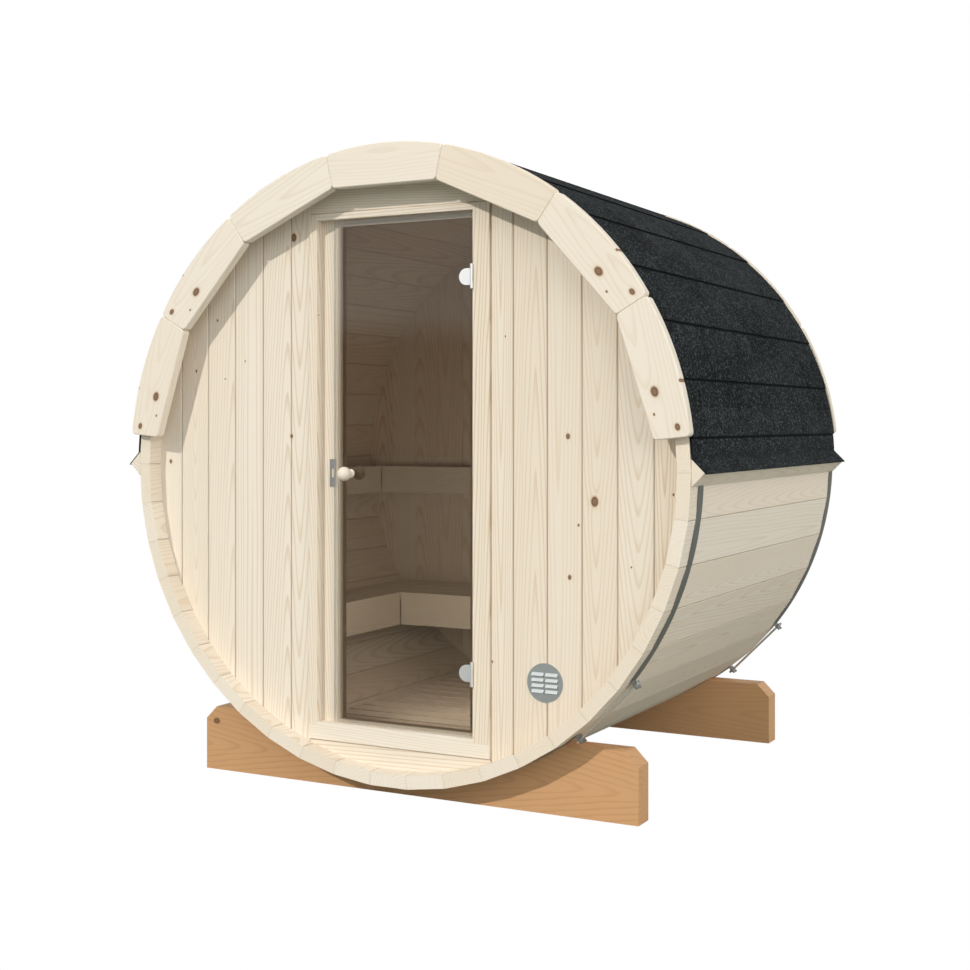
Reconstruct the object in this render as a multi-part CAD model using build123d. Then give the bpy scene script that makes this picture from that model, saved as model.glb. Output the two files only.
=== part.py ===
from build123d import *
import math
import os

# Barrel sauna, in millimetres. Origin on the ground under the middle of the barrel, front faces -Y, +Z up.
# In this file y runs from the front ends of the staves to their back ends and z from the barrel axis.

# Barrel and its staves
barrel_r = 1000.0
barrel_l = 1515.0
ground_gap = 45.0
sectors = {"bottom": 7, "lower_right": 5, "right": 6, "upper_right": 5,
           "top": 7, "upper_left": 5, "left": 6, "lower_left": 5}
stave_t = 42.0
stave_gap = 0.3
tongue_h = 7.0
tongue_w = 12.0
tongue_taper = 1.5
outer_nick = 3.0
inner_nick = 1.5
seat = 0.3

# End walls
wall_recess = 58.0
wall_t = 42.0
dado = 8.0
board_w = 114.0
frame_board_w = 77.0
narrow_board = 40.0
board_gap = 0.3
board_v = 4.0
board_tongue = 7.0
board_tongue_w = 10.0

# Door frame
frame_half = 332.0
frame_below_top = 182.0
frame_above_bottom = 114.0
frame_proud = 8.0
jamb_left_face = 32.0
jamb_right_face = 58.0
jamb_left_stop = 80.0
jamb_right_stop = 24.0
rebate = 29.0
head_face = 21.0
head_stop = 22.0
sill_beam = 44.0
sill_step = 13.0
sill_stop = 14.0

# Glass leaf, knobs, hinges and strike plate
leaf_clear = 5.5
leaf_lap = 21.0
glass_t = 8.0
glass_back = 11.0
knob_in = 64.0
knob_drop = 6.0
knob_r = 22.5
knob_out = 40.0
neck_r = 9.0
neck_dip = 3.5
collar_r = 14.0
collar_t = 3.0
stud_r = 4.0
stud_play = 0.2
hinge_from_top = 200.0
hinge_from_low = 193.0
hinge_h = 76.0
leaf_plate_t = 2.0
leaf_plate_w = 24.0
mortise_play = 0.2
knuckle_r = 4.5
knuckle_gap = 0.5
knuckle_proud = 0.5
knuckle_in = 1.5
pin_r = 2.5
pin_play = 0.08
clamp_r = 26.0
clamp_t = 4.0
clamp_reach = 24.0
strap_w = 9.0
strike_w = 23.0
strike_h = 90.0
strike_t = 2.0
strike_margin = 7.0
strike_slot = 28.0

# Vent
vent_inset = 179.0
vent_angle = -51.0
vent_r = 59.0
vent_hole_r = 48.0
vent_t = 2.0
louvre_w = 40.0
louvre_h = 9.0
louvre_pitch = 17.0
louvre_mid = 6.0
louvre_out = 6.0
louvre_skin = 1.2

# Arch boards at both ends
arch_t = 32.0
arch_over = 13.0
arch_w = 110.0
arch_n = 7
arch_step = 24.05
arch_gap = 0.4
arch_corner = 14.0
arch_ease = 2.5

# Roof
felt_t = 3.0
felt_low = 3.2
shingle_t = 3.4
layer_gap = 0.15
lap = 2.6
course_low = [5.7, 15.4, 25.6, 36.3, 48.2, 59.4, 70.4, 81.2]
ridge_edge = 7.7
tab_w = 333.0
tab_slot = 5.0
tab_depth = 0.82
tab_first = 113.0
eave_over = 4.0
batten_leg = 39.0

# Hoops
hoop_w = 40.0
hoop_t = 1.0
hoop_front_inset = 62.0
hoop_back_inset = 7.0
hoop_side = 0.5
ear_mid = 45.0
ear_half = 7.0
ear_t = 4.0
ear_h = 27.0
rod_r = 4.0
rod_play = 0.15
rod_lift = 6.5
rod_end = 16.0
nut_r = 7.5
nut_t = 7.0

# Cradles
cradle_h = 215.0
cradle_shoulder = 239.0
cradle_t = 78.0
cradle_cut = 43.0
cradle_gap = 6.5

# Floor, benches and back rests
floor_in = 155.0
slat_t = 28.0
slat_w = 70.0
slat_gap = 15.0
slat_clear = 6.0
floor_bearer_in = 183.0
floor_bearer_w = 40.0
inside_gap = 8.0
seat_h = 326.0
seat_t = 28.0
side_bench_w = 225.5
back_bench_d = 415.0
back_planks = 4
side_planks = 2
apron_h = 97.0
apron_t = 22.0
bench_bearer = 40.0
rest_above_seat = 369.0
rest_h = 108.0
rest_t = 25.0
rest_block = 30.0
rest_block_w = 50.0
rest_block_h = 60.0
rest_side_gap = 20.0

# Worked out from the sizes above
axis_h = barrel_r + ground_gap
stave_n = sum(sectors.values())
half_step = 180.0 / stave_n
half_sin = math.sin(math.radians(half_step))
half_cos = math.cos(math.radians(half_step))
inner_r = barrel_r - stave_t
dado_r = inner_r + dado / half_cos
mid_y = barrel_l / 2
wall_y0 = wall_recess
wall_y1 = wall_recess + wall_t
back_y0 = barrel_l - wall_y1
back_y1 = barrel_l - wall_y0
frame_top = barrel_r - frame_below_top
frame_low = frame_above_bottom - barrel_r
frame_y0 = wall_y0 - frame_proud
stop_y = frame_y0 + rebate
hoop_front = hoop_front_inset
hoop_back = barrel_l - hoop_back_inset - hoop_w
hoop_in = barrel_r + seat / 2
hoop_out = hoop_in + hoop_t

os.makedirs("parts", exist_ok=True)


def rad(a):
    return math.radians(a)


def polar(r, elevation):
    """Point (x, z) at a radius and an elevation above the +X horizontal."""
    return (r * math.cos(rad(elevation)), r * math.sin(rad(elevation)))


def along_y(points, y0, y1):
    """Solid between y0 and y1 over a closed outline of (x, z) points."""
    wire = Polyline([(x, y0, z) for x, z in points], close=True)
    return extrude(make_face(wire), amount=y1 - y0, dir=(0, 1, 0))


def along_z(points, z0, z1):
    """Solid between z0 and z1 over a closed outline of (x, y) points."""
    wire = Polyline([(x, y, z0) for x, y in points], close=True)
    return extrude(make_face(wire), amount=z1 - z0, dir=(0, 0, 1))


def along_x(points, x0, x1):
    """Solid between x0 and x1 over a closed outline of (y, z) points."""
    wire = Polyline([(x0, y, z) for y, z in points], close=True)
    return extrude(make_face(wire), amount=x1 - x0, dir=(1, 0, 0))


def block(x0, x1, y0, y1, z0, z1):
    size = Box(x1 - x0, y1 - y0, z1 - z0)
    return Pos((x0 + x1) / 2, (y0 + y1) / 2, (z0 + z1) / 2) * size


def bar_x(y, z, r, x0, x1):
    return Pos((x0 + x1) / 2, y, z) * Rot(0, 90, 0) * Cylinder(r, x1 - x0)


def bar_y(x, z, r, y0, y1):
    return Pos(x, (y0 + y1) / 2, z) * Rot(90, 0, 0) * Cylinder(r, y1 - y0)


def bar_z(x, y, r, z0, z1):
    return Pos(x, y, (z0 + z1) / 2) * Cylinder(r, z1 - z0)


def joined(solids):
    """One solid out of several that touch."""
    whole = solids[0]
    for solid in solids[1:]:
        whole += solid
    return whole


def from_bottom(shape, angle):
    """Turns a shape made at the bottom of the barrel towards +X by the given angle."""
    return Rot(0, -angle, 0) * shape


def mirrored(shape):
    return mirror(shape, about=Plane.YZ)


def save(name, shapes):
    """Moves the solids to the row frame and writes them as one node."""
    solids = [Pos(0, -mid_y, axis_h) * s for shape in shapes for s in shape.solids()]
    export_step(Compound(children=solids) if len(solids) > 1 else solids[0], "parts/" + name + ".step")
    print(name, len(solids))


def ring_outline(r):
    """Outline of the inside of the staves, with its corners at radius r."""
    return [polar(r, half_step * (2 * k + 1) - 90) for k in range(stave_n)]


# Staves: one profile, tongue on one edge and groove on the other, turned round the axis
def edge_point(r, out, side):
    """Point on a stave's edge face at radius r, moved out along the normal of that face."""
    n = out - stave_gap / 2
    return (side * (r * half_sin + n * half_cos), n * half_sin - r * half_cos)


def stave_outline():
    mid = barrel_r - stave_t / 2
    root = tongue_w / 2
    tip = root - tongue_taper
    tongue = [(root, 0), (tip, tongue_h), (-tip, tongue_h), (-root, 0)]
    points = [edge_point(barrel_r - outer_nick / 2, 0, 1)]
    points += [edge_point(mid + dr, out, 1) for dr, out in tongue]
    points.append(edge_point(inner_r + inner_nick / 2, 0, 1))
    points.append((inner_r * half_sin - inner_nick, -inner_r * half_cos))
    points.append((inner_nick - inner_r * half_sin, -inner_r * half_cos))
    points.append(edge_point(inner_r + inner_nick / 2, 0, -1))
    for dr, out in reversed(tongue):
        points.append(edge_point(mid + dr + math.copysign(stave_gap, dr), -out, -1))
    points.append(edge_point(barrel_r - outer_nick / 2, 0, -1))
    points.append((outer_nick - barrel_r * half_sin, -barrel_r * half_cos))
    points.append((barrel_r * half_sin - outer_nick, -barrel_r * half_cos))
    return points


def make_staves():
    stave = along_y(stave_outline(), 0, barrel_l)
    half_width = barrel_r * half_sin * 2
    for y0, y1 in ((wall_y0, wall_y1), (back_y0, back_y1)):
        stave -= block(-half_width, half_width, y0 - seat / 2, y1 + seat / 2, -dado_r * half_cos, 0)
    k = -(sectors["bottom"] // 2)
    for name, count in sectors.items():
        save("staves_" + name, [from_bottom(stave, 2 * half_step * (k + i)) for i in range(count)])
        k += count


# End walls of tongued boards, cut round to sit in the groove of the staves
def board_outline(a0, a1, y0, y1, tongue, groove):
    """Board from a0 to a1 with bevelled edges, a tongue at a1 and a groove at a0."""
    ym = (y0 + y1) / 2
    t = board_tongue_w / 2
    low = a0 + board_gap / 2
    high = a1 - board_gap / 2
    points = [(low + board_v, y0), (high - board_v, y0), (high, y0 + board_v)]
    if tongue:
        points += [(high, ym - t), (high + board_tongue, ym - t)]
        points += [(high + board_tongue, ym + t), (high, ym + t)]
    points += [(high, y1 - board_v), (high - board_v, y1), (low + board_v, y1), (low, y1 - board_v)]
    if groove:
        t += board_gap
        deep = low + board_tongue + board_gap
        points += [(low, ym + t), (deep, ym + t), (deep, ym - t), (low, ym - t)]
    points.append((low, y0 + board_v))
    return points


def cut_round(solid, y0, y1):
    return solid & along_y(ring_outline(dado_r - seat / 2), y0, y1)


def make_front_wall():
    rim = dado_r
    joints = [frame_half, frame_half + frame_board_w]
    while joints[-1] + board_w < rim - narrow_board:
        joints.append(joints[-1] + board_w)
    joints.append(rim + board_w)
    vent_x, vent_z = polar(barrel_r - vent_inset, vent_angle)
    hole = bar_y(vent_x, vent_z, vent_hole_r, wall_y0 - wall_t, wall_y1 + wall_t)
    right = []
    left = []
    for i in range(len(joints) - 1):
        last = i == len(joints) - 2
        outline = board_outline(joints[i], joints[i + 1], wall_y0, wall_y1, not last, i > 0)
        board = cut_round(along_z(outline, -rim, rim), wall_y0, wall_y1)
        left.append(mirrored(board))
        right.append(board - hole)
    save("front_wall_right", right)
    save("front_wall_left", left)

    half = frame_half - board_gap / 2
    above = []
    z = frame_top
    while z < rim - narrow_board:
        last = z + board_w > rim - narrow_board
        outline = board_outline(z, z + board_w + (board_w if last else 0), wall_y0, wall_y1, not last, z > frame_top)
        above.append(cut_round(along_x([(q, p) for p, q in outline], -half, half), wall_y0, wall_y1))
        z += board_w
    save("front_wall_above_door", above)
    outline = board_outline(-rim - board_w, frame_low, wall_y0, wall_y1, False, False)
    below = cut_round(along_x([(q, p) for p, q in outline], -half, half), wall_y0, wall_y1)
    save("front_wall_below_door", [below])


def make_back_wall():
    rim = dado_r
    count = 2 * math.ceil((rim - narrow_board - board_w / 2) / board_w) + 1
    boards = []
    for i in range(count):
        a0 = (i - count / 2) * board_w
        a1 = a0 + board_w
        first = i == 0
        last = i == count - 1
        if first:
            a0 -= board_w
        if last:
            a1 += board_w
        outline = board_outline(a0, a1, back_y0, back_y1, not last, not first)
        boards.append(cut_round(along_z(outline, -rim, rim), back_y0, back_y1))
    save("back_wall", boards)


# Door frame: rebated jambs on a full-width sill, head between the jambs
play = board_gap
jamb_left_in = jamb_left_face - frame_half
jamb_right_in = frame_half - jamb_right_face
stop_left = jamb_left_in + jamb_left_stop
stop_right = jamb_right_in - jamb_right_stop
sill_top = frame_low + sill_beam
head_low = frame_top - head_face
glass_x0 = stop_left - leaf_lap
glass_x1 = jamb_right_in - leaf_clear
glass_y0 = frame_y0 + glass_back
glass_y1 = glass_y0 + glass_t
glass_z0 = sill_top + sill_step + leaf_clear
glass_z1 = head_low - leaf_clear
knob_x = glass_x0 + knob_in
knob_z = (glass_z0 + glass_z1) / 2 - knob_drop
hinge_upper_z = glass_z1 - hinge_from_top
hinge_lower_z = glass_z0 + hinge_from_low
pin_x = jamb_right_in - knuckle_in
pin_y = frame_y0 - knuckle_r - knuckle_proud
clamp_x = pin_x - clamp_reach


def make_frame():
    side = frame_half - play
    left = along_z(
        [(-side, frame_y0), (jamb_left_in, frame_y0), (jamb_left_in, stop_y),
         (stop_left, stop_y), (stop_left, wall_y1), (-side, wall_y1)],
        sill_top, frame_top - play)
    right = along_z(
        [(jamb_right_in, frame_y0), (side, frame_y0), (side, wall_y1),
         (stop_right, wall_y1), (stop_right, stop_y), (jamb_right_in, stop_y)],
        sill_top, frame_top - play)
    for z in (hinge_upper_z, hinge_lower_z):
        reach = hinge_h / 2 + mortise_play
        right -= block(jamb_right_in - leaf_plate_t, jamb_right_in + leaf_plate_t + mortise_play,
                       frame_y0 - leaf_plate_t, frame_y0 + leaf_plate_w + mortise_play, z - reach, z + reach)
    save("door_jamb_left", [left])
    save("door_jamb_right", [right])

    x0 = jamb_left_in + play
    x1 = jamb_right_in - play
    s0 = stop_left + play
    s1 = stop_right - play
    y1 = stop_y - play
    head = block(x0, x1, frame_y0, y1, head_low, frame_top - play)
    head += block(s0, s1, y1, wall_y1, head_low - head_stop, frame_top - play)
    save("door_head", [head])
    sill = block(-side, side, frame_y0, wall_y1, frame_low + play, sill_top)
    sill += block(x0, x1, frame_y0, y1, sill_top, sill_top + sill_step)
    sill += block(s0, s1, y1, wall_y1, sill_top, sill_top + sill_step + sill_stop)
    save("door_sill", [sill])

    strike_x1 = glass_x0 - leaf_clear
    strike_x0 = strike_x1 - strike_w
    y0 = stop_y - strike_t
    strike = block(strike_x0, strike_x1, y0, stop_y, knob_z - strike_h / 2, knob_z + strike_h / 2)
    strike -= block(strike_x0 + strike_margin, strike_x1 - strike_margin, y0 - strike_t, stop_y + strike_t,
                    knob_z - strike_slot / 2, knob_z + strike_slot / 2)
    save("strike_plate", [strike])


def make_glass():
    glass = block(glass_x0, glass_x1, glass_y0, glass_y1, glass_z0, glass_z1)
    holes = [(knob_x, knob_z), (clamp_x, hinge_upper_z), (clamp_x, hinge_lower_z)]
    for x, z in holes:
        glass -= bar_y(x, z, stud_r + stud_play, glass_y0 - glass_t, glass_y1 + glass_t)
    save("door_glass", [glass])


def turned_knob():
    """Ball on a waisted neck and a collar, turned about z, with the collar's face at z = 0."""
    ball_low = knob_out - math.sqrt(knob_r ** 2 - neck_r ** 2)
    tip = knob_out + knob_r
    waist = ((collar_r + neck_r) / 2 - neck_dip, (collar_t + ball_low) / 2)
    outline = [
        Edge.make_line((0, 0, 0), (collar_r, 0, 0)),
        Edge.make_line((collar_r, 0, 0), (collar_r, 0, collar_t)),
        Edge.make_three_point_arc((collar_r, 0, collar_t), (waist[0], 0, waist[1]), (neck_r, 0, ball_low)),
        Edge.make_three_point_arc((neck_r, 0, ball_low), (knob_r, 0, knob_out), (0, 0, tip)),
        Edge.make_line((0, 0, tip), (0, 0, 0)),
    ]
    return revolve(make_face(outline), axis=Axis.Z)


def make_knobs():
    knob = turned_knob()
    outer = Pos(knob_x, glass_y0, knob_z) * Rot(90, 0, 0) * knob
    inner = Pos(knob_x, glass_y1, knob_z) * Rot(-90, 0, 0) * knob
    stud = bar_y(knob_x, knob_z, stud_r, glass_y0 - collar_t, glass_y1 + collar_t)
    save("door_knobs", [joined([outer, stud, inner])])


def make_hinge(name, z):
    """Leaf and pin let into the jamb, and a clamp on the glass that turns on the pin."""
    z0 = z - hinge_h / 2
    z1 = z + hinge_h / 2
    third = hinge_h / 3
    x0 = jamb_right_in
    x1 = jamb_right_in + leaf_plate_t
    leaf = block(x0, x1, frame_y0 + knuckle_gap, frame_y0 + leaf_plate_w, z0, z1)
    for a, b in ((z0, z0 + third), (z1 - third, z1)):
        leaf += block(x0, x1, pin_y, frame_y0 + leaf_plate_t, a, b)
        leaf += bar_z(pin_x, pin_y, knuckle_r, a, b)
    leaf += bar_z(pin_x, pin_y, pin_r, z0, z1)
    save("hinge_leaf_" + name, [leaf])

    k0 = z0 + third + knuckle_gap
    k1 = z1 - third - knuckle_gap
    front_y = glass_y0 - clamp_t
    clamp = bar_z(pin_x, pin_y, knuckle_r, k0, k1)
    clamp += block(pin_x - strap_w, pin_x - knuckle_in, pin_y, front_y, k0, k1)
    for y in (front_y, glass_y1):
        disc = bar_y(clamp_x, z, clamp_r, y, y + clamp_t)
        disc -= block(glass_x1, glass_x1 + clamp_r, y, y + clamp_t, z - clamp_r, z + clamp_r)
        clamp += disc
        clamp += block(clamp_x, glass_x1, y, y + clamp_t, z - clamp_r, z + clamp_r)
    clamp += bar_y(clamp_x, z, stud_r, front_y, glass_y1 + clamp_t)
    clamp -= bar_z(pin_x, pin_y, pin_r + pin_play, z0, z1)
    save("hinge_clamp_" + name, [clamp])


# Round vent with eight pressed louvres
def make_vent():
    x, z = polar(barrel_r - vent_inset, vent_angle)
    face = wall_y0 - vent_t
    vent = bar_y(x, z, vent_r, face, wall_y0)
    hoods = []
    for row in range(4):
        z_mid = z + (row - 1.5) * louvre_pitch
        top = z_mid + louvre_h / 2
        low = z_mid - louvre_h / 2
        for side in (-1, 1):
            x_mid = x + side * (louvre_w + louvre_mid) / 2
            x0 = x_mid - louvre_w / 2
            x1 = x_mid + louvre_w / 2
            hood = along_x([(face, top), (face - louvre_out, low), (face, low)], x0, x1)
            hollow = along_x([(wall_y0, top - 2 * louvre_skin), (face, top - 2 * louvre_skin),
                              (face - louvre_out + louvre_skin, low - louvre_skin), (wall_y0, low - louvre_skin)],
                             x0 + louvre_skin, x1 - louvre_skin)
            hoods.append((hood, hollow))
    for hood, hollow in hoods:
        vent = vent + hood - hollow
    save("vent_grille", [vent])


# Arch boards: arc outside, straight inside, rounded corners and an eased outer face
def arch_board(angle, side):
    """Board centred on an elevation; side is -1 in front of the staves and 1 behind them."""
    r = barrel_r + arch_over
    half = arch_step / 2 - math.degrees(arch_gap / r) / 2
    corners = [polar(radius, 90 + a) for radius, a in ((r, -half), (r, half), (r - arch_w, half), (r - arch_w, -half))]
    arc = Edge.make_three_point_arc(*[(x, 0, z) for x, z in (corners[0], polar(r, 90), corners[1])])
    sides = Polyline([(x, 0, z) for x, z in corners[1:] + corners[:1]])
    face = make_face([arc] + sides.edges())
    face = fillet(face.vertices(), arch_corner)
    board = extrude(face, amount=arch_t, dir=(0, side, 0))
    outer = board.faces().sort_by(Axis.Y)[0 if side < 0 else -1]
    board = chamfer(outer.edges(), arch_ease)
    return Pos(0, 0 if side < 0 else barrel_l, 0) * Rot(0, 90 - angle, 0) * board


def make_arches():
    angles = [90 + (i - (arch_n - 1) / 2) * arch_step for i in range(arch_n)]
    save("front_arch", [arch_board(a, -1) for a in angles])
    save("back_arch", [arch_board(a, 1) for a in angles])


# Roof: felt, lapped shingle courses with cut tabs, ridge strip and eave battens
grid = 1.25
chord = math.cos(rad(grid / 2))
straight = 180.0
roof_y0 = seat
roof_y1 = barrel_l - seat
felt_in = barrel_r + seat / 2
felt_out = felt_in + felt_t
deck_r = felt_out + layer_gap
batten_x = barrel_r + seat / 2


def elevations(a0, a1):
    """Both end elevations and the grid elevations between them."""
    first = math.floor(a0 / grid) + 1
    inside = [k * grid for k in range(first, math.ceil(a1 / grid))]
    return [a0] + inside + [a1]


def strip(a0, a1, r_in, r_out, y0, y1):
    """Curved strip between two elevations; the radii are functions of the elevation."""
    es = elevations(a0, a1)
    outside = [polar(r_out(a) / chord, a) for a in es]
    inside = [polar(r_in(a) / chord, a) for a in reversed(es)]
    return along_y(outside + inside, y0, y1)


def make_felt():
    felt = strip(felt_low, straight - felt_low, lambda a: felt_in, lambda a: felt_out, roof_y0, roof_y1)
    for y in (hoop_front, hoop_back):
        felt -= strip(0, straight, lambda a: barrel_r - felt_t, lambda a: hoop_out + layer_gap,
                      y - hoop_side, y + hoop_w + hoop_side)
    save("roof_felt", [felt])


def course_shapes():
    """Low edge, top edge and lift of each course; a course rests on the one below along the lap."""
    shapes = []
    last = len(course_low) - 1
    for i, low in enumerate(course_low):
        top = course_low[i + 1] + lap if i < last else 90 - (90 - low) / 4
        if i == 0:
            lift = shingle_t + 2 * layer_gap
        else:
            low0, top0, lift0 = shapes[-1]
            lift = lift0 * (top0 - low) / (top0 - low0) + shingle_t + layer_gap
        shapes.append((low, top, lift))
    return shapes


def eave_strip():
    """First strip: down over the felt, then out over the slope of the batten."""
    inside = []
    outside = []
    for a in reversed(elevations(felt_low - 0.4, course_low[0] + lap)):
        inside.append(polar(deck_r / chord, a))
        outside.append(polar((deck_r + shingle_t) / chord, a))
    knee_x = inside[-1][0]
    off = seat * math.sqrt(2)
    knee_z = batten_leg + off - (knee_x - batten_x)
    inside.append((knee_x, knee_z))
    outside.append((knee_x + shingle_t, knee_z + shingle_t * math.tan(rad(22.5))))
    end_x = batten_x + batten_leg + eave_over
    end_z = batten_leg + off - (end_x - batten_x)
    inside.append((end_x, end_z))
    outside.append((end_x + shingle_t / math.sqrt(2), end_z + shingle_t / math.sqrt(2)))
    return along_y(outside + list(reversed(inside)), roof_y0, roof_y1)


def make_shingles():
    shapes = course_shapes()
    right = [eave_strip()]
    left = [mirrored(right[0])]
    for i, (low, top, lift) in enumerate(shapes):
        def r_in(a):
            return deck_r + lift * (top - a) / (top - low)

        sheet = strip(low, top, r_in, lambda a: r_in(a) + shingle_t, roof_y0, roof_y1)
        shown = course_low[i + 1] if i + 1 < len(course_low) else 90 - ridge_edge
        for mirror_side, out in ((False, right), (True, left)):
            cut = sheet
            y = (tab_first + tab_w * (i / 2 + (0.25 if mirror_side else 0))) % tab_w
            while y < barrel_l - tab_slot:
                if y > 4 * tab_slot:
                    cut -= strip(low - 1, low + (shown - low) * tab_depth, lambda a: deck_r - 1,
                                 lambda a: deck_r + 4 * shingle_t, y - tab_slot / 2, y + tab_slot / 2)
                y += tab_w
            out.append(mirrored(cut) if mirror_side else cut)
    save("roof_shingles_right", right)
    save("roof_shingles_left", left)

    low, top, lift = shapes[-1]

    def ridge_in(a):
        b = min(a, straight - a)
        under = lift * max(top - b, 0) / (top - low)
        return deck_r + under + shingle_t + layer_gap

    ridge = strip(90 - ridge_edge, 90 + ridge_edge, ridge_in, lambda a: ridge_in(a) + shingle_t, roof_y0, roof_y1)
    save("roof_ridge_cap", [ridge])


def make_battens():
    outline = [(batten_x, batten_leg), (batten_x + batten_leg, 0), (batten_x, -batten_leg)]
    batten = along_y(outline, roof_y0, roof_y1)
    for y in (hoop_front, hoop_back):
        batten -= block(barrel_r - batten_leg, hoop_out + 2 * seat, y - hoop_side, y + hoop_w + hoop_side,
                        -2 * batten_leg, 2 * batten_leg)
    save("eave_batten_right", [batten])
    save("eave_batten_left", [mirrored(batten)])


# Hoops in two halves with ears, drawn together by a threaded rod on each side
def make_hoop(name, y):
    y_mid = y + hoop_w / 2
    high = ear_mid + ear_half - 90
    low = ear_mid - ear_half - 90
    upper = strip(high, straight - high, lambda a: hoop_in, lambda a: hoop_out, y, y + hoop_w)
    lower = strip(-straight - low, low, lambda a: hoop_in, lambda a: hoop_out, y, y + hoop_w)
    ear_u = barrel_r * math.sin(rad(ear_half))
    band_r = hoop_in + hoop_t / 2
    foot = math.sqrt(band_r ** 2 - (ear_u + ear_t / 2) ** 2)
    rod_z = -barrel_r - rod_lift
    rods = []
    for side in (-1, 1):
        rod = bar_x(y_mid, rod_z, rod_r, -ear_u - ear_t - rod_end, ear_u + ear_t + rod_end)
        for end in (-1, 1):
            u0, u1 = sorted((end * ear_u, end * (ear_u + ear_t)))
            ear = block(u0, u1, y, y + hoop_w, -foot - ear_h, -foot)
            ear -= bar_x(y_mid, rod_z, rod_r + rod_play, u0 - ear_t, u1 + ear_t)
            ear = from_bottom(ear, side * ear_mid)
            if side * end > 0:
                upper += ear
            else:
                lower += ear
            nut = extrude(Plane.YZ * RegularPolygon(nut_r, 6), amount=nut_t / 2, both=True)
            rod += Pos(end * (ear_u + ear_t + nut_t / 2 + rod_play), y_mid, rod_z) * nut
        rods.append(from_bottom(rod, side * ear_mid))
    save("hoop_" + name, [upper, lower])
    save("hoop_rods_" + name, rods)


# Cradles sawn to the round of the barrel
def make_cradle(name, y):
    ground = -axis_h
    top = ground + cradle_h
    half = math.sqrt(barrel_r ** 2 - top ** 2) + cradle_shoulder
    outline = [(-half, ground), (half, ground), (half, top - cradle_cut), (half - cradle_cut, top),
               (cradle_cut - half, top), (-half, top - cradle_cut)]
    cradle = along_y(outline, y, y + cradle_t)
    cradle -= bar_y(0, 0, barrel_r + seat / 2, y - cradle_t, y + 2 * cradle_t)
    save("cradle_" + name, [cradle])


# Inside: duckboard, benches and back rests, with bearers scribed to the staves
core = along_y(ring_outline(inner_r - seat), wall_y1, back_y0)
inner_fit = inner_r * half_cos - seat
floor_top = floor_in - barrel_r
slat_low = floor_top - slat_t
seat_top = floor_top + seat_h
seat_low = seat_top - seat_t
inside_y0 = wall_y1 + inside_gap
inside_y1 = back_y0 - seat


def wall_x(z):
    """Half-width between the staves at a height."""
    return math.sqrt(inner_fit ** 2 - z ** 2)


def scribed(solid):
    return solid & core


def make_floor():
    half = wall_x(slat_low) - slat_clear
    slats = []
    y = inside_y0
    while y + slat_w < inside_y1:
        slats.append(block(-half, half, y, y + slat_w, slat_low, floor_top))
        y += slat_w + slat_gap
    y_end = y - slat_gap
    bearers = []
    for side in (-1, 1):
        x = side * (half - floor_bearer_in)
        long_bar = block(x - floor_bearer_w / 2, x + floor_bearer_w / 2, inside_y0, y_end, -barrel_r, slat_low)
        bearers.append(scribed(long_bar))
    save("floor_duckboard", [joined(bearers + slats)])


def make_benches():
    end = wall_x(seat_low)
    side_x = side_bench_w - end
    back_y = back_y0 - back_bench_d
    apron_low = seat_low - apron_h
    bearer_low = seat_low - bench_bearer
    plank = (side_bench_w - (side_planks - 1) * inside_gap) / side_planks
    y1 = back_y - inside_gap
    left = []
    for k in range(side_planks):
        x1 = side_x - k * (plank + inside_gap)
        left.append(block(x1 - plank, x1, inside_y0, y1, seat_low, seat_top))
    left.append(block(side_x - apron_t, side_x, inside_y0, y1, apron_low, seat_low))
    for part in (1 / 8, 1 / 2, 7 / 8):
        y = inside_y0 + (y1 - inside_y0) * part
        left.append(scribed(block(-barrel_r, side_x - apron_t, y - bench_bearer / 2, y + bench_bearer / 2,
                                  bearer_low, seat_low)))
    save("bench_left", [joined(left)])

    plank = (inside_y1 - back_y - (back_planks - 1) * inside_gap) / back_planks
    back = []
    for k in range(back_planks):
        y = back_y + k * (plank + inside_gap)
        back.append(block(-end, end, y, y + plank, seat_low, seat_top))
    back.append(block(side_x, -side_x, back_y, back_y + apron_t, apron_low, seat_low))
    for x in (side_x * 3 / 4, 0, -side_x * 3 / 4):
        back.append(block(x - bench_bearer / 2, x + bench_bearer / 2, back_y + apron_t, inside_y1,
                          bearer_low, seat_low))
    save("bench_back", [joined(back)])


def make_back_rests():
    low = seat_top + rest_above_seat
    top = low + rest_h
    mid = (low + top) / 2
    block_low = mid - rest_block_h / 2
    block_top = mid + rest_block_h / 2
    face_x = wall_x(low) - rest_block - rest_t - rest_side_gap
    face_y = inside_y1 - rest_block - rest_t
    back = [block(-face_x, face_x, face_y, face_y + rest_t, low, top)]
    for x in (-face_x * 2 / 3, 0, face_x * 2 / 3):
        back.append(block(x - rest_block_w / 2, x + rest_block_w / 2, face_y + rest_t, inside_y1,
                          block_low, block_top))
    save("back_rest_back", [joined(back)])
    y1 = face_y - inside_gap
    left = [block(-face_x - rest_t, -face_x, inside_y0, y1, low, top)]
    for part in (1 / 8, 1 / 2, 7 / 8):
        y = inside_y0 + (y1 - inside_y0) * part
        left.append(scribed(block(-barrel_r, -face_x - rest_t, y - rest_block_w / 2, y + rest_block_w / 2,
                                  block_low, block_top)))
    save("back_rest_left", [joined(left)])


make_staves()
make_front_wall()
make_back_wall()
make_frame()
make_glass()
make_knobs()
make_hinge("upper", hinge_upper_z)
make_hinge("lower", hinge_lower_z)
make_vent()
make_arches()
make_felt()
make_shingles()
make_battens()
make_hoop("front", hoop_front)
make_hoop("back", hoop_back)
make_cradle("front", hoop_front + hoop_w + cradle_gap)
make_cradle("back", hoop_back - cradle_gap - cradle_t)
make_floor()
make_benches()
make_back_rests()
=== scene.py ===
import math

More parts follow.
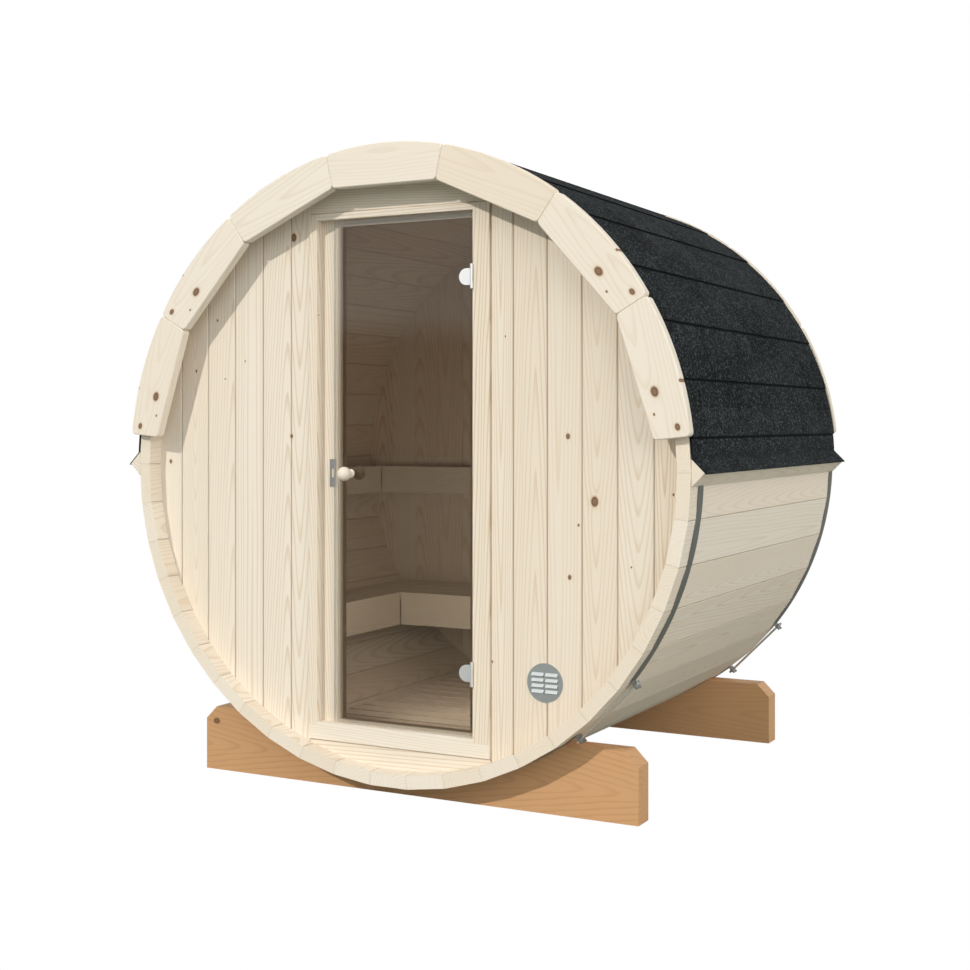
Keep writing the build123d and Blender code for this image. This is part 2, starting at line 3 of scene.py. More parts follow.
import bmesh
import bpy
from bpy.props import FloatProperty, FloatVectorProperty, PointerProperty
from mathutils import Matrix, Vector


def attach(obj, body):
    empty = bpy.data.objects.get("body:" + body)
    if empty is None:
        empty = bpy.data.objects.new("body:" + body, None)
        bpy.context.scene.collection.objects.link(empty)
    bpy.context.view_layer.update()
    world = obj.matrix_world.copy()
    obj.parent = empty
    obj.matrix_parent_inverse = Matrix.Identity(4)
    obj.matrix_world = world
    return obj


bl_info = {
    "name": "Barrel sauna looks",
    "version": (1, 0, 0),
    "blender": (4, 5, 0),
    "location": "3D View > Sidebar > Sauna",
    "description": "Dresses the packed parts of a barrel sauna in wood, bitumen, glass and steel",
    "category": "Object",
}

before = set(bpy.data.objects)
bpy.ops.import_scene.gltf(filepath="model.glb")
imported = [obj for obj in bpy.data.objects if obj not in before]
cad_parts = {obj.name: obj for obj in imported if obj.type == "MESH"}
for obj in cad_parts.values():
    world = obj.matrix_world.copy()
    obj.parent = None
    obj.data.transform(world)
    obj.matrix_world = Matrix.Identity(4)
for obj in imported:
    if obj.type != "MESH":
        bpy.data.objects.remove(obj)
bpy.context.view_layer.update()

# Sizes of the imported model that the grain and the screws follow, in metres
AXIS_Z = 1.045
BARREL_R = 1.0
MID_Y = 0.7575
STAVE_STEP = 2 * math.pi / 46
ARCH_STEP = math.radians(24.05)
ARCH_MID_R = 0.958
ARCH_FACE_Y = 0.76
END_Y = 0.7573
WALL_Y = 0.70
FRAME_JOINT = 0.409
BOARD_W = 0.114
LEVEL_BOARD_Z = 1.90
JAMB_X = -0.29
JAMBS_APART = 0.576
SILL_Z = 0.19
HEAD_OVER_SILL = 1.65
OPENING_LEFT = -0.220
OPENING_LOW = 0.230
OPENING_TOP = 1.820
KNOB_PLACE = (-0.177, -0.7, 1.023)
CRADLE_MID_Z = 0.1
CRADLE_FACE_Y = 0.65
SLAT_PITCH = 0.085
FIRST_SLAT_Y = 0.108 - MID_Y
PLANK_PITCH = 0.10568
LEFT_PLANK_PITCH = 0.11675
LEFT_PLANK_SHIFT = 0.78
BACK_BENCH_Y = 1.0 - MID_Y
FLOOR_TOP = 0.200
SEAT_TOP = 0.526

# Lower edges of the shingle courses, in degrees above the barrel's axis
COURSE_LOW = (5.6, 15.3, 25.5, 36.2, 48.1, 59.3, 70.3, 81.1)

# Numbers from which the boards of each group are counted; a board's number picks its log
FIRST_BOARD = {
    "knobs": 3.0, "front": 17.0, "arch": 20.0, "back": 60.0, "level": 90.0, "jambs": 101.0, "rails": 107.0,
    "cradles": 121.0, "slats": 130.0, "planks_x": 160.0, "planks_y": 190.0, "battens": 210.0,
}

# Knots seen in the photograph as (across, along, radius) in the directions of each board
FRONT_KNOTS = [
    (0.592, 1.146, 0.0070), (0.6785, 0.954, 0.0125), (0.6263, 0.883, 0.0035), (0.5975, 0.727, 0.0060),
    (0.925, 0.980, 0.0035), (0.795, 0.766, 0.0025), (0.718, 0.359, 0.0030), (0.383, 1.449, 0.0025),
    (-0.398, 1.794, 0.0110), (-0.711, 1.532, 0.0035), (-0.802, 1.362, 0.0040), (-0.596, 1.392, 0.0025),
    (-0.679, 1.334, 0.0025), (-0.407, 1.142, 0.0060), (-0.913, 1.053, 0.0060), (0.338, 0.457, 0.0030),
]
FRAME_KNOTS = [
    (-0.2967, 1.536, 0.0035), (-0.2698, 0.768, 0.0045), (-0.2682, 0.341, 0.0055),
]
ARCH_KNOTS = [
    (-0.029, 0.058, 0.0125), (0.006, 0.174, 0.0085), (-0.050, 0.119, 0.0035), (0.053, 0.052, 0.0040),
]
CRADLE_KNOTS = [(0.065, -0.754, 0.0110), (0.156, 0.737, 0.0120), (0.085, 0.420, 0.0060)]


class Value:
    """A socket of a shader tree that takes part in arithmetic."""

    def __init__(self, shade, socket):
        self.shade = shade
        self.socket = socket

    def _math(self, operation, *terms):
        return self.shade.node("ShaderNodeMath", {"operation": operation}, dict(enumerate(terms)))

    def __add__(self, other):
        return self._math("ADD", self, other)

    def __radd__(self, other):
        return self._math("ADD", other, self)

    def __sub__(self, other):
        return self._math("SUBTRACT", self, other)

    def __rsub__(self, other):
        return self._math("SUBTRACT", other, self)

    def __mul__(self, other):
        return self._math("MULTIPLY", self, other)

    def __rmul__(self, other):
        return self._math("MULTIPLY", other, self)

    def __truediv__(self, other):
        return self._math("DIVIDE", self, other)

    def __pow__(self, other):
        return self._math("POWER", self, other)

    def __abs__(self):
        return self._math("ABSOLUTE", self)

    def floor(self):
        return self._math("FLOOR", self)

    def fraction(self):
        return self._math("FRACT", self)

    def sqrt(self):
        return self._math("SQRT", self)

    def exp(self):
        return self._math("EXPONENT", self)

    def sine(self):
        return self._math("SINE", self)

    def cosine(self):
        return self._math("COSINE", self)

    def sign(self):
        return self._math("SIGN", self)

    def over(self, limit):
        """1 where this is more than the limit, 0 elsewhere."""
        return self._math("GREATER_THAN", self, limit)

    def most(self, other):
        return self._math("MAXIMUM", self, other)

    def angle(self, other):
        """Angle of the point (other, self), like atan2."""
        return self._math("ARCTAN2", self, other)

    def ramp(self, low, high):
        """Smooth step from 0 at low to 1 at high."""
        settings = {"interpolation_type": "SMOOTHSTEP"}
        sockets = {"Value": self, "From Min": low, "From Max": high}
        return self.shade.node("ShaderNodeMapRange", settings, sockets)


class Shade:
    """A material or a sky under construction, with short calls for the nodes it needs."""

    def __init__(self, name, tree=None):
        if tree is None:
            self.material = bpy.data.materials.new(name)
            self.material.use_nodes = True
            tree = self.material.node_tree
        self.tree = tree
        self.tree.nodes.clear()

    def node(self, kind, settings=None, sockets=None, output=0):
        """Adds any node, sets its properties and feeds its sockets."""
        made = self.tree.nodes.new(kind)
        for key, value in (settings or {}).items():
            setattr(made, key, value)
        for key, value in (sockets or {}).items():
            if isinstance(value, Value):
                self.tree.links.new(value.socket, made.inputs[key])
            else:
                made.inputs[key].default_value = value
        return Value(self, made.outputs[output])

    def split(self, vector, axis):
        """One of the parts X, Y and Z of a vector or of a colour."""
        return self.node("ShaderNodeSeparateXYZ", None, {0: vector}, axis)

    def place(self):
        """x, y and z of the shaded point in the row frame, at rest."""
        point = self.node("ShaderNodeTexCoord", output="Object")
        return tuple(self.split(point, axis) for axis in "XYZ")

    def vector(self, x, y, z):
        return self.node("ShaderNodeCombineXYZ", None, {0: x, 1: y, 2: z})

    def noise(self, vector, detail):
        """Smooth noise about 0, between -0.5 and 0.5, one wave for each unit of the vector."""
        sockets = {"Vector": vector, "Scale": 1.0, "Detail": detail, "Roughness": 0.5}
        return self.node("ShaderNodeTexNoise", None, sockets) - 0.5

    def cells(self, vector, randomness=1.0):
        """Distance to the middle of the nearest cell, and two random values of that cell."""
        settings = {"voronoi_dimensions": "3D", "feature": "F1"}
        sockets = {"Vector": vector, "Scale": 1.0, "Randomness": randomness}
        away = self.node("ShaderNodeTexVoronoi", settings, sockets, "Distance")
        colour = self.node("ShaderNodeTexVoronoi", settings, sockets, "Color")
        return away, self.split(colour, "X"), self.split(colour, "Y")

    def chances(self, number):
        """Three random values between 0 and 1 for a whole number."""
        settings = {"noise_dimensions": "1D"}
        colour = self.node("ShaderNodeTexWhiteNoise", settings, {"W": number + 0.37}, "Color")
        return tuple(self.split(colour, axis) for axis in "XYZ")

    def mix(self, factor, first, second, blend="MIX"):
        settings = {"data_type": "RGBA", "blend_type": blend}
        sockets = {0: factor, 6: colour4(first), 7: colour4(second)}
        return self.node("ShaderNodeMix", settings, sockets, 2)

    def blend(self, factor, first, second):
        """Two shaders mixed, the second by the given share."""
        return self.node("ShaderNodeMixShader", None, {0: factor, 1: first, 2: second})

    def bump(self, height, depth):
        """Normal from a height between 0 and 1 that stands for a depth in metres."""
        return self.node("ShaderNodeBump", None, {"Height": height, "Distance": depth, "Strength": 1.0})

    def surface(self, **inputs):
        """Ends the tree with a Principled BSDF."""
        sockets = {}
        for key, value in inputs.items():
            sockets[key.replace("_", " ").title().replace("Ior", "IOR")] = value
        return self.finish(self.node("ShaderNodeBsdfPrincipled", None, sockets))

    def finish(self, shader):
        end = self.tree.nodes.new("ShaderNodeOutputMaterial")
        self.tree.links.new(shader.socket, end.inputs["Surface"])
        return self.material


def colour4(colour):
    """A colour socket as it is, or three numbers with full alpha."""
    return colour if isinstance(colour, Value) else (*colour, 1.0)


def darker(colour, share):
    """A colour with this share of its light."""
    return tuple(part * share for part in colour)


# Wood
PITH_SPREAD = 0.120
PITH_WANDER = 0.014
PITH_LEAST_DEPTH = 0.006
PITH_MORE_DEPTH = 0.014
RING_WAVE = 0.010
RING_SLOPE = 20.0
RING_JITTER = 1.2
KNOT_CELL = 0.16
SMALLEST_KNOT = 0.002
KNOT_GROWTH = 0.006
WOOD_RELIEF = 0.0003


class SaunaWoodSettings(bpy.types.PropertyGroup):
    """Colours and growth rings of the timber"""

    pale: FloatVectorProperty(
        name="Early wood", description="Colour of the wood between the rings", subtype="COLOR",
        default=(0.824, 0.748, 0.645))
    grain: FloatVectorProperty(
        name="Late wood", description="Colour of the dark line of each ring", subtype="COLOR",
        default=(0.590, 0.420, 0.250))
    knot: FloatVectorProperty(
        name="Knot", description="Colour at the heart of a knot", subtype="COLOR",
        default=(0.085, 0.036, 0.018))
    amber: FloatVectorProperty(
        name="Knot rim", description="Resin-brown colour at the rim of a knot", subtype="COLOR",
        default=(0.470, 0.260, 0.125))
    bench: FloatVectorProperty(
        name="Bench wood", description="Colour of the benches between the rings", subtype="COLOR",
        default=(0.840, 0.800, 0.710))
    stain: FloatVectorProperty(
        name="Stained cradle", description="Colour of the stained planks", subtype="COLOR",
        default=(0.605, 0.350, 0.178))
    stain_grain: FloatVectorProperty(
        name="Stained grain", description="Colour of the rings under the stain", subtype="COLOR",
        default=(0.440, 0.215, 0.095))
    ring: FloatProperty(
        name="Ring width", description="Width of one growth ring", unit="LENGTH", default=0.0100, min=0.001)
    knot_bend: FloatProperty(
        name="Bend at knots", description="How far the rings swerve round a knot", unit="LENGTH",
        default=0.006, min=0.0)
    strength: FloatProperty(
        name="Grain strength", description="How much the rings stand out", subtype="FACTOR",
        default=0.48, min=0.0, max=1.0)


def listed_knots(shade, across, along, knots):
    """How near the point is to a listed knot: the heart of it, and the grain that bends round it."""
    heart = None
    bend = None
    for a, b, r in knots:
        away = ((across - a) * (across - a) + (along - b) * (along - b) * 0.55).sqrt()
        one_heart = 1.0 - away.ramp(r * 0.70, r * 1.30)
        one_bend = (away * away * (-1.0 / (2.1 * r) ** 2)).exp()
        heart = one_heart if heart is None else heart.most(one_heart)
        bend = one_bend if bend is None else bend.most(one_bend)
    return heart, bend


def scattered_knots(shade, across, along, board, often):
    """Small knots by chance, one cell in a few."""
    point = shade.vector(across / KNOT_CELL + board * 3.7, along / KNOT_CELL, board * 1.9)
    away, pick, size = shade.cells(point, 0.9)
    away = away * KNOT_CELL
    size = size * KNOT_GROWTH + SMALLEST_KNOT
    chosen = pick.over(1.0 - often)
    heart = (1.0 - (away / size).ramp(0.6, 1.2)) * chosen
    bend = (away * away / (size * size) * -0.16).exp() * chosen
    return heart, bend


def all_knots(shade, axes, spot, knots, often, shown):
    """Hearts and bends of the knots by chance and the listed ones together."""
    across, along, _, board = spot
    heart, bend = scattered_knots(shade, across, along, board, often)
    if knots:
        if axes in (front_boards, jambs):
            across, _, along = shade.place()
        mask = shown(shade)
        listed_heart, listed_bend = listed_knots(shade, across, along, knots)
        heart = heart.most(listed_heart * mask)
        bend = bend.most(listed_bend * mask)
    return heart, bend


def ring_lines(shade, spot, chances, bend, sway, ring):
    """1 on the dark line of each growth ring, round a pith that runs along the board."""
    look = bpy.context.scene.sauna_wood
    across, along, depth, board = spot
    pith_side, pith_depth, slope, width = chances
    wave = shade.noise(shade.vector(across * 7.0, along * 1.7, board), 1.0) * RING_WAVE * sway
    wander = shade.noise(shade.vector(board, along * 1.1, 5.0), 1.0) * PITH_WANDER * sway
    side = across - ((pith_side - 0.5) * PITH_SPREAD + wander) + wave
    down = depth + PITH_LEAST_DEPTH + pith_depth * PITH_MORE_DEPTH
    radius = (side * side + down * down).sqrt() + bend * look.knot_bend
    turns = radius / (look.ring * ring * (0.75 + 0.5 * width)) + along * (slope - 0.5) * RING_SLOPE
    turns = turns + shade.noise(shade.vector(radius * 40.0, board, 1.0), 1.0) * RING_JITTER
    part = turns.fraction()
    return part.ramp(0.50, 0.90) * (1.0 - part.ramp(0.90, 1.0))


def wood_tone(shade, colours, amount, warmth, heart, bend):
    """Colour of the wood from the share of late wood, the warmth of the board and the knots."""
    look = bpy.context.scene.sauna_wood
    pale, grain = colours
    tone = shade.mix(amount, pale, grain)
    tint = shade.mix(warmth.ramp(0.0, 1.0), (1.0, 1.0, 0.995), (0.965, 0.930, 0.885))
    tone = shade.mix(1.0, tone, tint, "MULTIPLY")
    tone = shade.mix(bend ** 3.0 * 0.28, tone, darker(grain, 0.90))
    tone = shade.mix(heart * 0.85, tone, look.amber)
    rings = ((bend + 0.001) * 9.0).fraction() * 0.35
    return shade.mix(heart.ramp(0.60, 1.0) * (0.90 - rings), tone, look.knot)


def wood(name, axes, knots=(), shown=None, often=0.12, sway=1.0, ring=1.0, strength=1.0,
         colours=("pale", "grain"), joint=None):
    """Sawn softwood: growth rings of a log, seen on every face of each board, with knots."""
    look = bpy.context.scene.sauna_wood
    pale, grain = (getattr(look, key) for key in colours)
    shade = Shade(name)
    spot = axes(shade)
    across, along, depth, board = spot
    pith_side, pith_depth, slope = shade.chances(board)
    width, boldness, warmth = shade.chances(board + 41.0)
    heart, bend = all_knots(shade, axes, spot, knots, often, shown)
    late = ring_lines(shade, spot, (pith_side, pith_depth, slope, width), bend, sway, ring)
    patch = shade.noise(shade.vector(across * 9.0, along * 0.9, board + 3.0), 2.0)
    streak = shade.noise(shade.vector(across * 90.0, along * 1.4, board + 9.0), 2.0)
    fibre = shade.noise(shade.vector(across * 420.0, along * 9.0, depth * 420.0), 2.0)

    cut_end = abs(shade.place()[1]).over(END_Y)
    force = (look.strength * strength * (0.45 + 0.75 * boldness) + patch * 0.25).most(0.08)
    force = force * (1.0 - cut_end * 0.55)
    amount = (late * force + fibre * 0.12 + streak * 0.24).most(0.0)
    tone = wood_tone(shade, (pale, grain), amount, warmth + patch * 0.3, heart, bend)
    if joint is not None:
        tone = shade.mix(joint(shade) * 0.55 * (1.0 - cut_end * 0.7), tone, darker(grain, 0.45))
    normal = shade.bump(1.0 - amount - heart * 0.5, WOOD_RELIEF)
    return shade.surface(base_color=tone, roughness=0.52 + amount * 0.12, normal=normal,
                         specular_ior_level=0.32)


# Masks that show listed knots or dark joints
def front_face(shade):
    """1 on the front faces of the walls and jambs, 0 on their sides."""
    return 1.0 - (shade.place()[1] + WALL_Y).ramp(0.003, 0.010)


def low_arch_boards(shade):
    """1 on the two lowest boards on either side of the front arch."""
    x, y, z = shade.place()
    turn = abs(x.angle(z - AXIS_Z))
    return turn.over(1.5 * ARCH_STEP) * (0.0 - y).over(0.0)


def everywhere(shade):
    return 1.0


def stave_joint(shade):
    """1 along the joints between staves, fading to 0 a few millimetres from them."""
    x, y, z = shade.place()
    part = (x.angle(AXIS_Z - z) / STAVE_STEP + 0.5).fraction()
    return 1.0 - (0.5 - abs(part - 0.5)).ramp(0.004, 0.020)


def wall_joint(shade):
    """1 in the grooves between the upright boards of the front wall."""
    part = ((abs(shade.place()[0]) - FRAME_JOINT) / BOARD_W).fraction()
    return 1.0 - (0.5 - abs(part - 0.5)).ramp(0.004, 0.028)


# Across, along, depth and number of the board that each point lies in
def stave_axes(shade):
    x, y, z = shade.place()
    height = AXIS_Z - z
    turn = x.angle(height)
    board = (turn / STAVE_STEP + 0.5).floor()
    reach = (x * x + height * height).sqrt()
    return (turn - board * STAVE_STEP) * reach, y, BARREL_R - reach, board


def front_boards(shade):
    x, y, z = shade.place()
    wide = abs(x)
    index = ((wide - FRAME_JOINT) / BOARD_W).floor()
    board = index + x.sign() * FIRST_BOARD["front"]
    return wide - FRAME_JOINT - (index + 0.5) * BOARD_W, z - AXIS_Z, y + WALL_Y, board


def back_boards(shade):
    x, y, z = shade.place()
    board = (x / BOARD_W + 0.5).floor()
    return x - board * BOARD_W, z - AXIS_Z, WALL_Y - y, board + FIRST_BOARD["back"]


def level_boards(shade):
    x, y, z = shade.place()
    return z - LEVEL_BOARD_Z, x, y + WALL_Y, (z - AXIS_Z).over(0.0) + FIRST_BOARD["level"]


def jambs(shade):
    x, y, z = shade.place()
    right = x.over(0.0)
    board = right * 3.0 + FIRST_BOARD["jambs"]
    return x - JAMB_X - right * JAMBS_APART, z - AXIS_Z, y + WALL_Y, board


def rails(shade):
    x, y, z = shade.place()
    high = (z - AXIS_Z).over(0.0)
    return z - SILL_Z - high * HEAD_OVER_SILL, x, y + WALL_Y, high + FIRST_BOARD["rails"]


def arch_axes(shade):
    x, y, z = shade.place()
    height = z - AXIS_Z
    turn = x.angle(height)
    index = (turn / ARCH_STEP + 0.5).floor()
    reach = (x * x + height * height).sqrt()
    part = turn - index * ARCH_STEP
    board = index + y.sign() * FIRST_BOARD["arch"]
    return reach * part.cosine() - ARCH_MID_R, reach * part.sine() * x.sign(), abs(y) - ARCH_FACE_Y, board


def cradle_axes(shade):
    x, y, z = shade.place()
    return z - CRADLE_MID_Z, x, abs(y) - CRADLE_FACE_Y, y.over(0.0) + FIRST_BOARD["cradles"]


def slats_along_x(shade):
    x, y, z = shade.place()
    index = ((y - FIRST_SLAT_Y) / SLAT_PITCH).floor()
    across = y - FIRST_SLAT_Y - (index + 0.5) * SLAT_PITCH
    return across, x, FLOOR_TOP - z, index + FIRST_BOARD["slats"]


def planks_along_x(shade):
    x, y, z = shade.place()
    index = ((y - BACK_BENCH_Y) / PLANK_PITCH).floor()
    across = y + z - BACK_BENCH_Y - (index + 0.5) * PLANK_PITCH
    return across, x, (SEAT_TOP - z) * 0.2, index + FIRST_BOARD["planks_x"]


def planks_along_y(shade):
    x, y, z = shade.place()
    index = (x / LEFT_PLANK_PITCH + LEFT_PLANK_SHIFT).floor()
    return x + z + 0.5, y, (SEAT_TOP - z) * 0.2, index + FIRST_BOARD["planks_y"]


def batten_axes(shade):
    x, y, z = shade.place()
    return z - AXIS_Z, y, abs(x) - BARREL_R, x.sign() + FIRST_BOARD["battens"]


def knob_axes(shade):
    x, y, z = (part - middle for part, middle in zip(shade.place(), KNOB_PLACE))
    return z, y, x, FIRST_BOARD["knobs"]


# Bitumen, glass and metals
class SaunaSurfaceSettings(bpy.types.PropertyGroup):
    """Colours of the bitumen, the glass and the metals"""

    bitumen: FloatVectorProperty(
        name="Bitumen", description="Colour between the granules", subtype="COLOR",
        default=(0.0042, 0.0050, 0.0052))
    granule: FloatVectorProperty(
        name="Granules", description="Colour of the palest granules", subtype="COLOR",
        default=(0.255, 0.295, 0.310))
    granule_size: FloatProperty(
        name="Granule size", description="Distance between granules", unit="LENGTH",
        default=0.0042, min=0.0005)
    glass: FloatVectorProperty(
        name="Glass", description="Share of light that passes each face of the glass", subtype="COLOR",
        default=(0.620, 0.585, 0.540))
    gloss: FloatProperty(
        name="Glass gloss", description="Strength of what the glass mirrors", subtype="FACTOR",
        default=0.85, min=0.0, max=1.0)
    steel: FloatVectorProperty(
        name="Hoop steel", description="Colour of the zinc-coated hoops", subtype="COLOR",
        default=(0.36, 0.36, 0.345))
    rod: FloatVectorProperty(
        name="Rod steel", description="Colour of the rods and nuts", subtype="COLOR",
        default=(0.92, 0.93, 0.93))
    hinge: FloatVectorProperty(
        name="Hinge metal", description="Colour of the satin hinges", subtype="COLOR",
        default=(0.94, 0.945, 0.95))
    vent: FloatVectorProperty(
        name="Vent metal", description="Colour of the pressed vent", subtype="COLOR",
        default=(0.56, 0.59, 0.60))


GRANULE_RELIEF = 0.0011
SPANGLE_SIZE = 0.006
# Nearly clear colour of the glass's border: painted light that lets the frame behind show bright
PAINTED_LIGHT_GLASS = (0.95, 0.95, 0.94)
MIRRORED = (0.90, 0.93, 1.0)


def course_edge_shadow(turn):
    """1 on the painted shadow line at the lower edge of each shingle course, where the course above casts
    shade.
    """
    line = None
    for low in COURSE_LOW:
        near = 1.0 - abs(turn - math.radians(low)).ramp(0.0015, 0.0060)
        line = near if line is None else line.most(near)
    return line


def bitumen(name, brightness=1.0):
    """Mineral granules bedded in bitumen, with darker and lighter patches between the shingles and a
    painted shadow line under each course.
    """
    look = bpy.context.scene.sauna_surfaces
    shade = Shade(name)
    x, y, z = shade.place()
    size = look.granule_size
    away, chance, other = shade.cells(shade.vector(x / size, y / size, z / size))
    cloud = shade.noise(shade.vector(x * 9.0, y * 9.0, z * 9.0), 3.0)
    turn = (z - AXIS_Z).angle(abs(x))
    course = (turn * 5.4).floor()
    tab = (y * 3.0 + course * 0.5).floor() + course * 7.0
    shift = shade.chances(tab)[0] - 0.5
    light = (chance.ramp(0.72, 1.0) * 0.28 + other * 0.03 + cloud * 0.07 + shift * 0.04).most(0.0)
    tone = shade.mix(light * brightness, look.bitumen, look.granule)
    # Painted shadow: a near-black line under the lower edge of each course
    tone = shade.mix(course_edge_shadow(turn) * 0.85, tone, darker(look.bitumen, 0.3))
    normal = shade.bump(1.0 - away, GRANULE_RELIEF)
    return shade.surface(base_color=tone, roughness=0.86 + chance * 0.12, normal=normal,
                         specular_ior_level=0.12)


def tinted_glass(name):
    """Bronze safety glass, made nearly clear as painted light where it laps the frame so the wood behind
    looks sunlit, and that reflects more at a glance.
    """
    look = bpy.context.scene.sauna_surfaces
    shade = Shade(name)
    x, y, z = shade.place()
    # Painted light: over the frame it laps the glass is nearly clear, so the wood behind shows bright as if
    # sunlit
    painted_light_border = (OPENING_LEFT - x).most(OPENING_LOW - z).most(z - OPENING_TOP).over(0.0)
    tinted = shade.node("ShaderNodeBsdfTransparent", None, {"Color": (*look.glass, 1.0)})
    pale = shade.node("ShaderNodeBsdfTransparent", None, {"Color": (*PAINTED_LIGHT_GLASS, 1.0)})
    clear = shade.blend(painted_light_border * 0.9, tinted, pale)
    gloss = shade.node("ShaderNodeBsdfGlossy", None, {"Color": (*MIRRORED, 1.0), "Roughness": 0.0})
    mirror = shade.node("ShaderNodeFresnel", None, {"IOR": 1.45}) * look.gloss
    return shade.finish(shade.blend(mirror, clear, gloss))


def metal(name, colour, rough, worn=0.10, spangle=0.0):
    """Metal with faint cloudy wear, or with the spangle of a zinc coat."""
    shade = Shade(name)
    x, y, z = shade.place()
    cloud = shade.noise(shade.vector(x * 60.0, y * 60.0, z * 60.0), 3.0) * worn
    chance = shade.cells(shade.vector(x / SPANGLE_SIZE, y / SPANGLE_SIZE, z / SPANGLE_SIZE))[1]
    flake = (chance - 0.5) * spangle
    tone = shade.mix((0.5 + cloud * 4.0 + flake).ramp(0.0, 1.0), darker(colour, 0.86), colour)
    return shade.surface(base_color=tone, metallic=1.0, roughness=rough + cloud + flake * 0.2)


def dress(material, *nodes):
    """Gives CAD nodes one finish."""
    for name in nodes:
        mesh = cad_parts[name].data
        mesh.materials.clear()
        mesh.materials.append(material)
        for face in mesh.polygons:
            face.material_index = 0


# Screws
SCREW_SIDES = 14
SCREW_STEPS = ((1.0, -0.0005), (1.0, 0.0002), (0.88, 0.0005), (0.42, 0.0005), (0.36, -0.0008))
SCREW_R = 0.0040
STRIKE_SCREW_R = 0.0030
NARROW_PAIR = 0.018
WIDE_PAIR = SLAT_PITCH / 4
STRIKE_PAIR = 0.033
SLATS_Y = [FIRST_SLAT_Y + k * SLAT_PITCH + 0.035 for k in range(15)]
SLAT_BEARERS_X = (-0.1993, 0.1993)
BACK_PLANKS_Y = [BACK_BENCH_Y + k * PLANK_PITCH + 0.049 for k in range(4)]
BACK_BEARERS_X = (-0.418, 0.0, 0.418)
LEFT_PLANKS_X = (-0.6123, -0.729)
LEFT_BEARERS_Y = [y - MID_Y for y in (0.2185, 0.55, 0.8815)]
REST_Z = 0.949
BACK_REST_Y = 0.6022
BACK_REST_X = (-0.579, 0.0, 0.579)
LEFT_REST_X = -0.8686
LEFT_REST_Y = [y - MID_Y for y in (0.2635, 0.7299, 1.1962)]
STRIKE_X = -0.258
STRIKE_Y = 0.077 - MID_Y
STRIKE_Z = 1.023
UP = (0, 0, 1)
TO_FRONT = (0, -1, 0)
TO_RIGHT = (1, 0, 0)


def pairs(centres, half):
    """Two places round each centre, half a pair's distance to either side."""
    return [centre + shift for centre in centres for shift in (-half, half)]


def grid(xs, ys, zs, out):
    """A screw at each crossing of the given x, y and z, all facing one way."""
    return [((x, y, z), out) for x in xs for y in ys for z in zs]


def screw_ring(bm, centre, axes, radius, height):
    """Points of one circle round the screw's axis."""
    first, second, out = axes
    ring = []
    for i in range(SCREW_SIDES):
        turn = 2 * math.pi * i / SCREW_SIDES
        side = first * math.cos(turn) + second * math.sin(turn)
        ring.append(bm.verts.new(centre + out * height + side * radius))
    return ring


def add_screw(bm, centre, out, radius):
    """Countersunk head, a little proud at its rim, with a round driver recess."""
    centre = Vector(centre)
    out = Vector(out)
    first = out.orthogonal().normalized()
    axes = (first, out.cross(first), out)
    rings = [screw_ring(bm, centre, axes, radius * part, height) for part, height in SCREW_STEPS]
    for inner, outer in zip(rings[1:], rings):
        for i in range(SCREW_SIDES):
            j = (i + 1) % SCREW_SIDES
            bm.faces.new((outer[i], outer[j], inner[j], inner[i]))
    bm.faces.new(rings[-1])
    bm.faces.new(list(reversed(rings[0])))


def screw_mesh(name, places, radius, material):
    """One mesh of all the screws in a group, from where each is and which way it faces."""
    bm = bmesh.new()
    for centre, out in places:
        add_screw(bm, centre, out, radius)
    mesh = bpy.data.meshes.new(name)
    bm.to_mesh(mesh)
    bm.free()
    mesh.materials.append(material)
    screws = bpy.data.objects.new(name, mesh)
    bpy.context.scene.collection.objects.link(screws)
    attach(screws, "sauna")


class DressStaves(bpy.types.Operator):
    """Pale spruce staves with end grain, each cut from its own log"""

    bl_idname = "sauna.dress_staves"
    bl_label = "Staves"

    def execute(self, context):
        names = [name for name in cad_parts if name.startswith("staves_")]
        staves = wood("stave_spruce", stave_axes, often=0.16, sway=1.4, strength=0.75, joint=stave_joint)
        dress(staves, *names)
        return {"FINISHED"}


class DressEndWalls(bpy.types.Operator):
    """Upright boards with the photographed knots, and level boards over and under the door"""

    bl_idname = "sauna.dress_end_walls"
    bl_label = "End walls"

    def execute(self, context):
        front = wood("front_spruce", front_boards, FRONT_KNOTS, front_face, often=0.02, joint=wall_joint)
        dress(front, "front_wall_left", "front_wall_right")
        dress(wood("back_spruce", back_boards, often=0.14), "back_wall")
        level = wood("level_spruce", level_boards, often=0.02)
        dress(level, "front_wall_above_door", "front_wall_below_door")
        return {"FINISHED"}


class DressDoorFrame(bpy.types.Operator):
    """Jambs with long arches of grain, head and sill"""

    bl_idname = "sauna.dress_door_frame"
    bl_label = "Door frame"

    def execute(self, context):
        upright = wood("jamb_spruce", jambs, FRAME_KNOTS, front_face, often=0.01, sway=1.8)
        dress(upright, "door_jamb_left", "door_jamb_right")
        dress(wood("rail_spruce", rails, often=0.0), "door_head", "door_sill")
        return {"FINISHED"}


class DressDoor(bpy.types.Operator):
    """Bronze glass, turned knobs, hinges and strike plate"""

    bl_idname = "sauna.dress_door"
    bl_label = "Door"

    def execute(self, context):
        look = context.scene.sauna_surfaces
        dress(tinted_glass("bronze_glass"), "door_glass")
        dress(wood("knob_birch", knob_axes, often=0.0, ring=0.5, strength=0.35), "door_knobs")
        hinge = metal("hinge_satin", look.hinge, 0.42, worn=0.04)
        dress(hinge, "hinge_clamp_upper", "hinge_clamp_lower", "hinge_leaf_upper", "hinge_leaf_lower")
        dress(metal("strike_steel", darker(look.rod, 0.55), 0.34, worn=0.06), "strike_plate")
        return {"FINISHED"}


class DressVent(bpy.types.Operator):
    """Brushed aluminium vent with pressed louvres"""

    bl_idname = "sauna.dress_vent"
    bl_label = "Vent"

    def execute(self, context):
        dress(metal("vent_aluminium", context.scene.sauna_surfaces.vent, 0.42, worn=0.05), "vent_grille")
        return {"FINISHED"}


